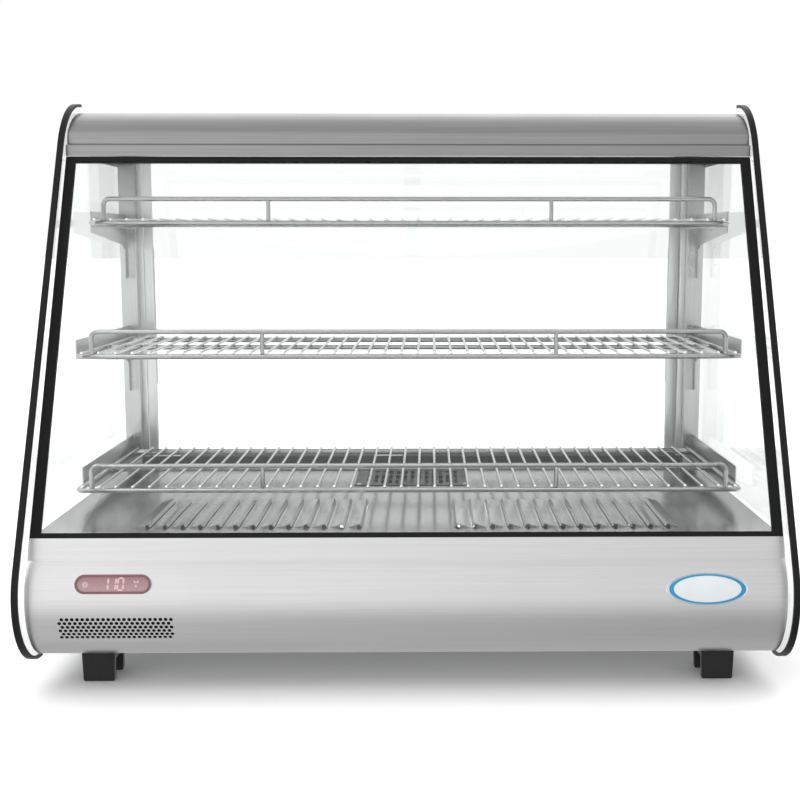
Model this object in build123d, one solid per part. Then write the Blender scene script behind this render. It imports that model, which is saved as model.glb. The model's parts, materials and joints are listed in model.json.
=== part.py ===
"""Counter-top heated display case: sloped glass front, clear sides, three wire shelves, sliding rear doors.

Frame: origin at the centre of the footprint, on the surface the feet stand on.
+X is to the right seen from the front, +Y towards the rear doors, +Z up. Millimetres.
"""
from build123d import *
import math
import os

# ---------------------------------------------------------------- driving dimensions
WIDTH = 861.0
DEPTH = 568.0
HEIGHT = 685.0
FRONT_Y = -DEPTH / 2
REAR_Y = DEPTH / 2

SHEET = 1.2  # steel sheet thickness
GAP = 0.2  # assembly gap between sheet parts that aren't welded

# Side panes and their edge trim
PANE_T = 5.0
TRIM_LIP = 1.0
TRIM_BAND = 3.6
PANE_INSET = 2.0
TRIM_OUT = WIDTH / 2
TRIM_IN = TRIM_OUT - PANE_T - 2 * TRIM_LIP
SIDE_Z0 = 35.0
SIDE_SLANT = 26.2  # of the side pane's front edge, from vertical
BULGE_R = 80.0
CROWN_R = 100.0
SIDE_REAR_R = 22.0
TRIM_CROWN_Y = 51.0  # the trim stops here, past the crown

# Base box
BODY_HALF = TRIM_IN - 1.0
BASE_Z = 37.0
PANEL_Y = 276.0  # outer face of the rear panel
SILL_Y = -238.0
SILL_Z = 181.3
SILL_DEPTH = 14.0
CREASE_Y = -246.5
CREASE_Z = 158.0
BELLY_SLANT = 35.0
BELLY_R = 73.0
PAN_Y = -150.0  # where the front panel's bottom flange meets the pan
PAN_FLANGE = 14.0
PAN_SLOTS = 10  # air intake slots in the pan
PAN_SLOT_PITCH = 40.0
PAN_SLOT_W = 6.0
PAN_SLOT_Y = (40.0, 150.0)
REAR_SLOTS = 12  # upright slots in the rear panel
REAR_SLOT_PITCH = 20.0
REAR_SLOT_W = 6.0
REAR_SLOT_L = 70.0
REAR_SLOT_Z = 110.0
DECK_Z = 180.0

# Front pane, in its own sloping plane
GLASS_SLANT = 25.26
GLASS_LEN = 478.0
GLASS_HALF = 422.0
GASKET_T = 7.0
GASKET_SIDE = 11.5
GASKET_FOOT = 6.0
GASKET_HEAD = 7.0

# Top cap
CAP_Z0 = 614.5
CAP_LIP_Y = -33.0
CAP_LIP_Z = 627.5
CAP_FACE_Y = -25.5
CAP_FACE_Z = 642.5
CAP_TOP_Z = 673.0
CAP_BROW_Y = 11.5
CAP_BROW_R = 90.0
CAP_FACE_R = 22.0
CAP_REAR_Z = 627.5  # the cap's lower edge from the uprights back
CEILING_Z = 628.0
CEILING_Y = -19.0
LAMP_HALF = 380.0
LAMP_Y = (-17.0, 33.0)
LAMP_H = 9.0
LAMP_WALL = 1.5
BOARD_HALF = 370.0
BOARD_Y = (0.0, 16.0)
BOARD_T = 1.6
LEDS = 30
LED_PITCH = 24.86
LED_W = 5.0
LED_H = 1.2
DIFFUSER_H = 5.0
DIFFUSER_T = 1.3

# Rear uprights, door tracks and doors
POST_Y = 227.0
POST_W = 22.5
POST_T = 1.5
TRACK_Y0 = 243.0
TRACK_Y1 = PANEL_Y - SHEET - GAP
TRACK_X = 399.8
LANE_INNER = 250.0
LANE_OUTER = 268.1
LANE_W = 9.8
LOW_TRACK_TOP = 192.0
HIGH_TRACK_Z0 = 627.5
HIGH_TRACK_Z1 = 647.0
DOOR_EDGE = 392.0
DOOR_LAP = 12.0
DOOR_Z0 = 184.0
DOOR_Z1 = 636.0
DOOR_PANE_T = 4.0
STILE_W = 12.0
STILE_T = 8.0
GRIP_Z = (300.0, 500.0)
GRIP_INNER = 10.6  # clears the outer door as it passes
GRIP_OUTER = 10.0

# Shelves: name, height of the rods, front rod, then the bracket's front end, its rise over the rods and the
# depth of its nose under the ledge
SHELVES = (
    ("lower", 205.8, -89.0, -42.0, 20.5, 4.0),
    ("middle", 369.0, -70.0, -50.0, 19.0, 1.5),
    ("top", 532.5, 12.0, 40.0, 15.5, 8.5),
)
SHELF_REAR_Y = 208.0
SHELF_HALF = 407.8
ROD_D = 6.3
WIRE_D = 3.5
WIRE_PITCH = 20.6
WIRES_EACH_SIDE = 20
RAIL_HALF = 389.8
RAIL_RISE = 30.4
RAIL_D = 6.0
RAIL_POST_X = 180.5  # between two wires
LEDGE_GAP = 0.3  # under the shelf rods, where they rest on the ledges
CORNER_R = 8.0  # bends in the shelf's loop and guard rail
BRACKET_X = 414.4
BRACKET_T = 1.5
BRACKET_KNEE = 34.0
BRACKET_TAIL = 76.0
LEDGE_W = 17.5
FLANGE_W = 12.5
SLOT_PITCH = 25.0
SLOT_LEN = 12.0

# Base fittings
DISPLAY_X = -325.0
DISPLAY_Z = 134.5
DISPLAY_W = 84.0
DISPLAY_H = 21.5
BADGE_X = 332.5
BADGE_Z = 127.5
BADGE_W = 93.0
BADGE_H = 35.5
VENT_X0 = -385.5
VENT_PITCH = 5.75
VENT_COLS = 22
VENT_ROWS = 6
VENT_D = 4.1
VENT_ANGLE = -31.0
VENT_STEP = 3.85
LOUVRES = 13
LOUVRE_PITCH = 20.4
LOUVRE_X0 = 55.9  # peak of the flap nearest to the middle
LOUVRE_Y = (-183.5, -36.0)
LOUVRE_W = 15.0  # from a flap's hinge to its peak
LOUVRE_LIP = 2.4  # the lip beyond the peak, bent down
LOUVRE_RISE = 5.0
LOUVRE_MOUTH = 4.0  # the part of the front end left open beside the peak
LOUVRE_CHEEK = 1.0  # thickness of a flap's closed ends
GRILLE_Y = 131.0
GRILLE_W = 156.0
GRILLE_L = 118.0
GRILLE_T = 1.0
GRILLE_ROWS = 3
GRILLE_ROW_PITCH = 34.0
GRILLE_COLS = 13
GRILLE_COL_PITCH = 10.0
GRILLE_SLOT = (29.0, 5.5)
INTAKE_X = 70.0  # half sizes of the opening in the deck under the grille
INTAKE_Y = 54.0
FAN_Y = 131.0
FAN_SIZE = 120.0
FAN_Z1 = DECK_Z - SHEET
FAN_H = 32.0
FAN_BOLT = 52.0  # half the bolt spacing
FAN_STRUT = 5.0
FAN_FLOOR = 3.0
DUCT_R = 56.0
HUB_R = 20.0
BLADES = 7
BLADE_L = 35.0
BLADE_W = 26.0
BLADE_PITCH = 32.0
SHAFT_R = 2.5
SHAFT_TOP = 26.0
SHAFT_FIT = 0.05
FOOT_W = 38.4
FOOT_L = 46.0
FOOT_X = 362.1
FOOT_Y = (-170.0, 218.0)
FOOT_TAPER = 1.2
FOOT_WALL = 7.0
FOOT_FLARE = 0.5  # how much wider the rear wall is on each side
FOOT_ARCH = 24.0  # height of the tunnel between the walls
SCREW_R = 3.0
SWITCH_X = (-300.0, -250.0)
SWITCH_Z = 112.0
SWITCH_W = 20.6
SWITCH_H = 28.6
SWITCH_DEPTH = 22.0
SWITCH_FLANGE = 2.2  # the flange beyond the cut-out, on each side
SWITCH_FACE = 1.6
SWITCH_WALL = 2.0
SWITCH_WELL = 12.0
ROCKER_PIVOT_Y = PANEL_Y - 4.0
ROCKER_PIN_R = 1.6
ROCKER_HALF = 7.9
GLAND_X = 330.0
GLAND_Z = 80.0
GLAND_R = 8.0
GLAND_BORE_R = 4.2
HEATER_Z = 105.0
HEATER_X = (70.0, 330.0)
HEATER_Y = (-140.0, -50.0)
HEATER_R = 4.0
HEATER_BEND = 40.0
HEATER_DROP = 12.0  # from the tube's centre line to the tray
TRAY_HALF = 350.0
TRAY_Y = (-140.0, 60.0)
TERMINAL_X = (250.0, 306.0)
TERMINAL_Y = (216.0, 236.0)
TERMINAL_H = 24.0
TERMINAL_POLES = 5
TERMINAL_PITCH = 11.0

BELLY_Z = BASE_Z + BELLY_R
BELLY_Y = CREASE_Y - (CREASE_Z - BELLY_Z) * math.tan(math.radians(BELLY_SLANT)) + BELLY_R / math.cos(
    math.radians(BELLY_SLANT)
)
GLASS_PLANE = Plane(
    origin=(0, SILL_Y, SILL_Z),
    x_dir=(1, 0, 0),
    z_dir=(0, -math.cos(math.radians(GLASS_SLANT)), math.sin(math.radians(GLASS_SLANT))),
)


STAND = (Align.CENTER, Align.CENTER, Align.MIN)  # a shape standing on its own plane


# ---------------------------------------------------------------- small helpers
def block(x0, x1, y0, y1, z0, z1):
    return Pos((x0 + x1) / 2, (y0 + y1) / 2, (z0 + z1) / 2) * Box(abs(x1 - x0), abs(y1 - y0), abs(z1 - z0))


def rod(start, end, diameter):
    """A round bar from start to end."""
    along = Vector(*end) - Vector(*start)
    plane = Plane(origin=start, z_dir=along)
    return plane * Cylinder(diameter / 2, along.length, align=STAND)


def rounded(points, radii):
    """A face in the YZ plane through (Y, Z) points, with a corner radius at each (0 for sharp)."""
    return make_face(FilletPolyline(*points, radius=list(radii), close=True))


def shrink(face, amount):
    return offset(face, amount=-amount, kind=Kind.INTERSECTION)


def along_x(face, x0, x1):
    """Extrude a face drawn in (Y, Z) from x0 to x1."""
    return extrude(Plane.YZ.offset(x0) * face, amount=x1 - x0)


def along_y(face, y0, y1):
    """Extrudes a face drawn in (X, Z) from y0 to y1."""
    return extrude(Plane.XZ.offset(-y1) * face, amount=y1 - y0)


def spread(count, pitch):
    """Positions of a row of count features, centred on zero."""
    return [(index - (count - 1) / 2) * pitch for index in range(count)]


def mirrored(shape):
    return mirror(shape, about=Plane.YZ)


def lean(length, angle):
    """Horizontal run of a line of that height leaning back by angle degrees."""
    return length * math.tan(math.radians(angle))


def belly_plane(x, angle):
    """A plane on the round front of the base, facing out, angle degrees above level."""
    up = math.radians(angle)
    normal = (0, -math.cos(up), math.sin(up))
    point = (x, BELLY_Y + BELLY_R * normal[1], BELLY_Z + BELLY_R * normal[2])
    return Plane(origin=point, x_dir=(1, 0, 0), z_dir=normal)


def belly_angle(z):
    return math.degrees(math.asin((z - BELLY_Z) / BELLY_R))


def belly_shell(x, width, inner, outer):
    """A slice of the tube that follows the round front, from inner to outer mm outside the sheet."""
    tube = Cylinder(BELLY_R + outer, width) - Cylinder(BELLY_R + inner, width + 2)
    return Pos(x, BELLY_Y, BELLY_Z) * Rot(0, 90, 0) * tube


# ---------------------------------------------------------------- side panes
def side_outline():
    slant = math.radians(SIDE_SLANT)
    bulge_y = FRONT_Y + BULGE_R
    bulge_z = SIDE_Z0 + BULGE_R
    edge_y = bulge_y - BULGE_R / math.cos(slant)
    low = (edge_y - lean(bulge_z - SIDE_Z0, SIDE_SLANT), SIDE_Z0)
    high = (edge_y + lean(HEIGHT - bulge_z, SIDE_SLANT), HEIGHT)
    points = [low, (REAR_Y, SIDE_Z0), (REAR_Y, HEIGHT), high]
    return rounded(points, [BULGE_R, SIDE_REAR_R, SIDE_REAR_R, CROWN_R])


def side_pane():
    face = shrink(side_outline(), PANE_INSET)
    return along_x(face, TRIM_IN + TRIM_LIP, TRIM_IN + TRIM_LIP + PANE_T)


def side_trim():
    """The edge trim: one length from the foot of the slope over the crown, and one up the rear edge."""
    outline = side_outline()
    band = along_x(outline, TRIM_IN, TRIM_OUT) - along_x(shrink(outline, TRIM_BAND), TRIM_IN - 1, TRIM_OUT + 1)
    stop = REAR_Y - SIDE_REAR_R - 2
    band -= block(0, WIDTH, TRIM_CROWN_Y, stop, HEIGHT - 2 * TRIM_BAND, HEIGHT + 1)
    band -= block(0, WIDTH, FRONT_Y + BULGE_R + 2, stop, 0, SIDE_Z0 + 2 * TRIM_BAND)
    return Compound(children=list((band - side_pane()).solids()))


# ---------------------------------------------------------------- base box
def base_section(inset):
    corner_y = CREASE_Y - lean(CREASE_Z - BASE_Z, BELLY_SLANT)
    points = [
        (SILL_Y, SILL_Z),
        (CREASE_Y, CREASE_Z),
        (corner_y, BASE_Z),
        (PANEL_Y, BASE_Z),
        (PANEL_Y, SILL_Z),
    ]
    face = rounded(points, [0, 0, BELLY_R, 0, 0])
    return shrink(face, inset) if inset else face


def pill(width, height, depth):
    return extrude(SlotOverall(width, height), amount=depth, both=True)


def vent_holes():
    holes = []
    for row in range(VENT_ROWS):
        shift = VENT_PITCH / 2 if row % 2 else 0
        for column in range(VENT_COLS):
            plane = belly_plane(VENT_X0 + shift + column * VENT_PITCH, VENT_ANGLE + row * VENT_STEP)
            holes.append(plane * Cylinder(VENT_D / 2, 8))
    return holes


def base_front_panel():
    skin = along_x(base_section(0), -BODY_HALF, BODY_HALF)
    skin -= along_x(base_section(SHEET), -BODY_HALF - 1, BODY_HALF + 1)
    skin -= block(-WIDTH, WIDTH, PAN_Y, REAR_Y, 0, HEIGHT)
    skin -= block(-WIDTH, WIDTH, SILL_Y + SILL_DEPTH, PAN_Y, BASE_Z + 20, HEIGHT)
    skin -= belly_plane(DISPLAY_X, belly_angle(DISPLAY_Z)) * pill(DISPLAY_W - 4, DISPLAY_H - 4, 8)
    skin -= foot_bolt_holes()
    return skin - vent_holes()


def base_side():
    return along_x(base_section(SHEET + GAP), BODY_HALF - SHEET, BODY_HALF)


def foot_places():
    return [(x, y) for x in (-FOOT_X, FOOT_X) for y in FOOT_Y]


def foot_bolt_holes():
    return [Pos(x, y, BASE_Z) * Cylinder(SCREW_R + 0.3, 10) for x, y in foot_places()]


def base_pan():
    inside = BODY_HALF - SHEET - GAP
    rear = PANEL_Y - SHEET - GAP
    pan = block(-inside, inside, PAN_Y + GAP, rear, BASE_Z, BASE_Z + SHEET)
    pan += block(-inside, -inside + SHEET, PAN_Y + GAP, rear, BASE_Z, BASE_Z + PAN_FLANGE)
    pan += block(inside - SHEET, inside, PAN_Y + GAP, rear, BASE_Z, BASE_Z + PAN_FLANGE)
    pan += block(-inside, inside, rear - SHEET, rear, BASE_Z, BASE_Z + PAN_FLANGE)
    for x in spread(PAN_SLOTS, PAN_SLOT_PITCH):
        pan -= block(x - PAN_SLOT_W / 2, x + PAN_SLOT_W / 2, *PAN_SLOT_Y, BASE_Z - 1, BASE_Z + SHEET + 1)
    return pan - foot_bolt_holes()


def base_rear_panel():
    panel = block(-BODY_HALF, BODY_HALF, PANEL_Y - SHEET, PANEL_Y, BASE_Z, DECK_Z - GAP)
    half, high = SWITCH_W / 2 + GAP, SWITCH_H / 2 + GAP
    for x in SWITCH_X:
        panel -= block(x - half, x + half, PANEL_Y - 5, PANEL_Y + 5, SWITCH_Z - high, SWITCH_Z + high)
    panel -= Pos(GLAND_X, PANEL_Y, GLAND_Z) * Rot(90, 0, 0) * Cylinder(GLAND_R + GAP, 10)
    slot = Rot(90, 0, 0) * Rot(0, 0, 90) * pill(REAR_SLOT_L, REAR_SLOT_W, 5)
    return panel - [Pos(x, PANEL_Y, REAR_SLOT_Z) * slot for x in spread(REAR_SLOTS, REAR_SLOT_PITCH)]


# ---------------------------------------------------------------- deck and its louvres
def louvre(side, index):
    """One pressed flap: hinged on its outer edge, with a bent lip along the edge that faces the middle."""
    peak = LOUVRE_X0 + index * LOUVRE_PITCH
    hinge = peak + LOUVRE_W
    lip = peak - LOUVRE_LIP
    low, high = LOUVRE_Y
    profile = make_face(
        Polyline(
            (hinge + 1.5, DECK_Z - SHEET),
            (hinge + 1.5, DECK_Z),
            (hinge, DECK_Z),
            (peak, DECK_Z + LOUVRE_RISE),
            (lip, DECK_Z + 0.9),
            (lip + 0.9, DECK_Z + 0.4),
            (peak + 0.8, DECK_Z + LOUVRE_RISE - 1.4),
            (hinge - 0.4, DECK_Z - SHEET),
            close=True,
        )
    )
    mouth = peak + LOUVRE_MOUTH
    cheek = make_face(
        Polyline(
            (hinge + 1.5, DECK_Z - SHEET),
            (hinge, DECK_Z),
            (mouth, DECK_Z + LOUVRE_RISE * (hinge - mouth) / LOUVRE_W - 0.3),
            (mouth, DECK_Z - SHEET),
            close=True,
        )
    )
    flap = along_y(profile, low, high)
    for y in (low, high - LOUVRE_CHEEK):
        flap += along_y(cheek, y, y + LOUVRE_CHEEK)
    return flap if side > 0 else mirrored(flap)


def louvre_window(side, index):
    lip = LOUVRE_X0 + index * LOUVRE_PITCH - LOUVRE_LIP
    low, high = LOUVRE_Y
    window = block(lip - 0.2, lip + LOUVRE_LIP + LOUVRE_W, low + 0.5, high - 0.5, DECK_Z - 5, DECK_Z + 5)
    return window if side > 0 else mirrored(window)


def deck_plate():
    half = BODY_HALF - SHEET - GAP
    deck = block(-half, half, SILL_Y + SILL_DEPTH + GAP, TRACK_Y1, DECK_Z - SHEET, DECK_Z)
    deck -= block(-INTAKE_X, INTAKE_X, GRILLE_Y - INTAKE_Y, GRILLE_Y + INTAKE_Y, 0, HEIGHT)
    spots = [(side, index) for side in (-1, 1) for index in range(LOUVRES)]
    deck -= [louvre_window(side, index) for side, index in spots]
    return deck + [louvre(side, index) for side, index in spots]


def fan_grille():
    plate = Pos(0, GRILLE_Y, DECK_Z) * Box(GRILLE_W, GRILLE_L, GRILLE_T, align=STAND)
    slot = Rot(0, 0, 90) * pill(*GRILLE_SLOT, 5)
    rows = spread(GRILLE_ROWS, GRILLE_ROW_PITCH)
    columns = spread(GRILLE_COLS, GRILLE_COL_PITCH)
    return plate - [Pos(x, GRILLE_Y + y, DECK_Z) * slot for y in rows for x in columns]


# ---------------------------------------------------------------- front pane
def pane_slab(inset_side, inset_foot, inset_head, near, far):
    """A slab in the front pane's plane, from near to far mm behind its outer face."""
    half = GLASS_HALF - inset_side
    height = GLASS_LEN - inset_foot - inset_head
    middle = (far + near) / 2
    slab = Pos(0, inset_foot + height / 2, -middle) * Box(2 * half, height, far - near)
    return GLASS_PLANE * slab


def front_glass():
    return pane_slab(3, 4, 3, 1, 1 + PANE_T)


def front_glass_gasket():
    frame = pane_slab(0, 0, 0, 0, GASKET_T)
    frame -= pane_slab(GASKET_SIDE, GASKET_FOOT, GASKET_HEAD, -1, GASKET_T + 1)
    frame -= block(-WIDTH, WIDTH, SILL_Y - 20, SILL_Y + 30, SILL_Z - 20, SILL_Z)
    return frame - front_glass()


# ---------------------------------------------------------------- top cap and lamp
def cap_face():
    points = [
        (PANEL_Y, CAP_TOP_Z),
        (PANEL_Y, CAP_Z0),
        (CAP_LIP_Y, CAP_Z0),
        (CAP_LIP_Y, CAP_LIP_Z),
        (CAP_FACE_Y, CAP_LIP_Z + 2.5),
        (CAP_FACE_Y, CAP_FACE_Z),
        (CAP_BROW_Y, CAP_TOP_Z),
    ]
    return rounded(points, [0, 0, 0, 1, 0, CAP_FACE_R, CAP_BROW_R])


def top_cap():
    outline = cap_face()
    cap = along_x(outline, -BODY_HALF, BODY_HALF)
    cap -= along_x(shrink(outline, SHEET), -BODY_HALF + SHEET, BODY_HALF - SHEET)
    inside = BODY_HALF - SHEET
    cap -= block(-inside, inside, CAP_LIP_Y + 13, PANEL_Y - SHEET, CAP_Z0 - 5, CAP_Z0 + 5)
    return cap - block(-WIDTH, WIDTH, POST_Y - 1, REAR_Y, CAP_Z0 - 5, CAP_REAR_Z)


def ceiling_panel():
    """The sheet over the cabin; it runs back between the uprights to the upper track."""
    half = BODY_HALF - SHEET - GAP
    between = BODY_HALF - POST_W - 1
    panel = block(-half, half, CEILING_Y, POST_Y - 1, CEILING_Z - SHEET, CEILING_Z)
    return panel + block(-between, between, POST_Y - 2, TRACK_Y0 - 1.5, CEILING_Z - SHEET, CEILING_Z)


def lamp_tub(inset, low, high):
    """A block with the lamp's plan, inset on all four sides."""
    return block(-LAMP_HALF + inset, LAMP_HALF - inset, LAMP_Y[0] + inset, LAMP_Y[1] - inset, low, high)


def lamp_housing():
    top = CEILING_Z - SHEET
    return lamp_tub(0, top - LAMP_H, top) - lamp_tub(LAMP_WALL, top - LAMP_H - 3, top - LAMP_WALL)


def lamp_board():
    top = CEILING_Z - SHEET - LAMP_WALL
    under = top - BOARD_T
    middle = sum(BOARD_Y) / 2
    board = block(-BOARD_HALF, BOARD_HALF, *BOARD_Y, under, top)
    led = Pos(0, middle, under - LED_H / 2) * Box(LED_W, LED_W, LED_H)
    return board + [Pos(x, 0, 0) * led for x in spread(LEDS, LED_PITCH)]


def lamp_diffuser():
    low = CEILING_Z - SHEET - LAMP_H
    edge = LAMP_WALL + GAP
    return lamp_tub(edge, low, low + DIFFUSER_H) - lamp_tub(edge + DIFFUSER_T, low + DIFFUSER_T, low + DIFFUSER_H + 1)


# ---------------------------------------------------------------- rear frame and tracks
def hook_slots(z, rise):
    """Lower ends of the upright's slots behind the bracket of a shelf at z."""
    tail = max(z - BRACKET_TAIL, DECK_Z + 2)
    rows = [DECK_Z + index * SLOT_PITCH for index in range(1, 17)]
    return [slot for slot in rows if tail < slot and slot + SLOT_LEN < z + rise]


def upright():
    """A box section with slots for the shelf brackets' hooks."""
    outer = BODY_HALF
    inner = outer - POST_W
    post = block(inner, outer, POST_Y, TRACK_Y1, DECK_Z, CAP_REAR_Z - GAP)
    post -= block(inner + POST_T, outer - POST_T, POST_Y + POST_T, TRACK_Y1 - POST_T, 0, HEIGHT)
    middle = (inner + outer) / 2
    slots = []
    for _, z, _, _, rise, _ in SHELVES:
        for slot in hook_slots(z, rise):
            slots.append(block(middle - 1.5, middle + 1.5, POST_Y - 1, POST_Y + POST_T + 1, slot, slot + SLOT_LEN))
    return post - slots


def track(z0, z1, web):
    """A two-lane channel, web mm thick, open away from its web; web < 0 puts it on top."""
    body = block(-TRACK_X, TRACK_X, TRACK_Y0, TRACK_Y1, z0, z1)
    low = z0 + web if web > 0 else z0 - 1
    high = z1 + 1 if web > 0 else z1 + web
    for lane in (LANE_INNER, LANE_OUTER):
        body -= block(-WIDTH, WIDTH, lane - LANE_W / 2, lane + LANE_W / 2, low, high)
    return body


def door_jamb():
    jamb = block(DOOR_EDGE + 0.5, TRACK_X, TRACK_Y0, TRACK_Y1, LOW_TRACK_TOP + GAP, HIGH_TRACK_Z0 - GAP)
    return jamb - block(DOOR_EDGE, DOOR_EDGE + 3, TRACK_Y0 + 3, TRACK_Y1 - 3, LOW_TRACK_TOP - 5, HIGH_TRACK_Z0 + 5)


# ---------------------------------------------------------------- sliding doors, drawn as the left one
def door_pane(lane):
    return block(-DOOR_EDGE + 2, DOOR_LAP, lane - DOOR_PANE_T / 2, lane + DOOR_PANE_T / 2, DOOR_Z0 + 2, DOOR_Z1)


def door_stile(lane, reach):
    """The grip strip on the outer edge, with a hooked finger pull standing out by reach."""
    back = lane + STILE_T / 2
    strip = block(-DOOR_EDGE, -DOOR_EDGE + STILE_W, lane - STILE_T / 2, back, DOOR_Z0 + 9, DOOR_Z1)
    strip += block(-DOOR_EDGE, -DOOR_EDGE + 2.5, back, back + reach, *GRIP_Z)
    strip += block(-DOOR_EDGE, -DOOR_EDGE + STILE_W - 1, back + reach - 2, back + reach, *GRIP_Z)
    return strip - door_pane(lane)


def door_glides(lane):
    glides = []
    for x in (-DOOR_EDGE + 24, -DOOR_LAP - 24):
        shoe = block(x - 20, x + 20, lane - 4, lane + 4, DOOR_Z0 - 1.5, DOOR_Z0 + 8.5)
        glides.append(shoe - door_pane(lane))
    return Compound(children=[piece.solid() for piece in glides])


# ---------------------------------------------------------------- shelves and brackets
def shelf_grid(z, front):
    """Perimeter loop, a cross rod and a second rear rod, with the wires welded on top."""
    loop = FilletPolyline(
        (-SHELF_HALF, front, z),
        (SHELF_HALF, front, z),
        (SHELF_HALF, SHELF_REAR_Y, z),
        (-SHELF_HALF, SHELF_REAR_Y, z),
        radius=CORNER_R,
        close=True,
    )
    start = Plane(origin=loop @ 0, z_dir=loop % 0)
    grid = sweep(start * Circle(ROD_D / 2), path=loop)
    middle = (front + SHELF_REAR_Y) / 2
    extras = [rod((-SHELF_HALF, y, z), (SHELF_HALF, y, z), ROD_D) for y in (middle, SHELF_REAR_Y - 14)]
    wire_z = z + (ROD_D + WIRE_D) / 2 - 0.5
    for index in range(-WIRES_EACH_SIDE, WIRES_EACH_SIDE):
        x = (index + 0.5) * WIRE_PITCH
        extras.append(rod((x, front - 1.5, wire_z), (x, SHELF_REAR_Y + 1.5, wire_z), WIRE_D))
    return grid + extras


def shelf_guard(z, front):
    """The bent front rail with its two posts; it stands on the front rod."""
    foot = z + ROD_D / 2 + 0.02
    top = z + RAIL_RISE
    corners = [(-RAIL_HALF, front, foot), (-RAIL_HALF, front, top), (RAIL_HALF, front, top), (RAIL_HALF, front, foot)]
    path = FilletPolyline(*corners, radius=CORNER_R)
    start = Plane(origin=path @ 0, z_dir=path % 0)
    rail = sweep(start * Circle(RAIL_D / 2), path=path)
    return rail + [rod((x, front, foot), (x, front, top), RAIL_D - 0.8) for x in (-RAIL_POST_X, RAIL_POST_X)]


def shelf_bracket(z, tip, rise, nose):
    """A bent steel bracket: deep side plate, inner ledge, rear flange with a tail and its hooks."""
    ledge = z - ROD_D / 2 - LEDGE_GAP
    rear = POST_Y
    head = z + rise
    tail = max(z - BRACKET_TAIL, DECK_Z + 2)
    knee = max(z - BRACKET_KNEE, tail + 0.5)
    plate = make_face(
        Polyline(
            (tip, ledge - nose),
            (tip, head),
            (rear, head),
            (rear, tail),
            (rear - 9, tail),
            (rear - 9, knee),
            (rear - 20, knee + 6),
            close=True,
        )
    )
    bracket = along_x(plate, BRACKET_X - BRACKET_T, BRACKET_X)
    bracket += block(BRACKET_X - LEDGE_W, BRACKET_X, tip + 1, rear, ledge - BRACKET_T, ledge)
    bracket += block(BRACKET_X - FLANGE_W, BRACKET_X, rear - BRACKET_T, rear, tail, head)
    middle = BODY_HALF - POST_W / 2
    for slot in hook_slots(z, rise):
        bracket += block(middle - 1, middle + 1, rear - 1, rear + 5, slot + 1, slot + SLOT_LEN - 3)
    return bracket


# ---------------------------------------------------------------- display, badge, switches, gland
def display_bezel():
    plane = belly_plane(DISPLAY_X, belly_angle(DISPLAY_Z))
    ring = plane * (pill(DISPLAY_W, DISPLAY_H, 10) - pill(DISPLAY_W - 5, DISPLAY_H - 5, 12))
    return (ring & belly_shell(DISPLAY_X, 100, 0.02, 2.0)).solid()


def display_lens():
    plane = belly_plane(DISPLAY_X, belly_angle(DISPLAY_Z))
    lens = plane * pill(DISPLAY_W - 5.2, DISPLAY_H - 5.2, 10)
    return (lens & belly_shell(DISPLAY_X, 100, -SHEET - 0.3, 1.4)).solid()


def controller_box():
    plane = belly_plane(DISPLAY_X, belly_angle(DISPLAY_Z))
    body = Pos(0, 0, -26) * Box(DISPLAY_W - 2, 26, 42)
    body += Pos(0, 0, -46) * Box(50, 10, 8)
    return plane * body


def badge_plate():
    plane = belly_plane(BADGE_X, belly_angle(BADGE_Z))
    oval = plane * extrude(Ellipse(BADGE_W / 2, BADGE_H / 2), 12, both=True)
    return (oval & belly_shell(BADGE_X, 120, 0.05, 1.8)).solid()


def switch_block(x, grow, low, high):
    """A block with the switch's outline, grown on all four sides; low and high are measured from the panel."""
    half, tall = SWITCH_W / 2 + grow, SWITCH_H / 2 + grow
    return block(x - half, x + half, PANEL_Y + low, PANEL_Y + high, SWITCH_Z - tall, SWITCH_Z + tall)


def switch_housing(x):
    body = switch_block(x, 0, -SWITCH_DEPTH, SWITCH_FACE) + switch_block(x, SWITCH_FLANGE, 0.1, SWITCH_FACE)
    body -= switch_block(x, -SWITCH_WALL, -SWITCH_WELL, 5)
    return body - rocker_pin(x, ROCKER_HALF + 1.7, ROCKER_PIN_R + 0.1)


def rocker_pin(x, half, radius):
    return Pos(x, ROCKER_PIVOT_Y, SWITCH_Z) * Rot(0, 90, 0) * Cylinder(radius, 2 * half)


def rocker(x):
    """The rocker, at rest with its lower half pressed in; it turns about X on its two pins."""
    corners = [(-4, -6), (3.2, -10.6), (6.4, 0), (7.4, 9.8), (-4, 6)]
    outline = make_face(Polyline(*[(ROCKER_PIVOT_Y + y, SWITCH_Z + z) for y, z in corners], close=True))
    return along_x(outline, x - ROCKER_HALF, x + ROCKER_HALF) + rocker_pin(x, ROCKER_HALF + 1.4, ROCKER_PIN_R)


def cable_gland():
    """Nut, shank and dome, with a bore for the supply lead."""
    base = Pos(GLAND_X, PANEL_Y + 0.1, GLAND_Z) * Rot(-90, 0, 0)
    hexagon = extrude(RegularPolygon(11, 6), amount=4)
    dome = fillet(Cylinder(GLAND_R + 0.5, 3.6, align=STAND).edges().group_by(Axis.Z)[-1], 1.5)
    shank = Cylinder(GLAND_R, 14, align=(Align.CENTER, Align.CENTER, Align.MAX))
    nut = Pos(0, 0, -1.6) * extrude(RegularPolygon(12, 6), amount=-5)
    body = hexagon + Pos(0, 0, 4) * dome + shank + nut
    return base * (body - Cylinder(GLAND_BORE_R, 60))


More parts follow.
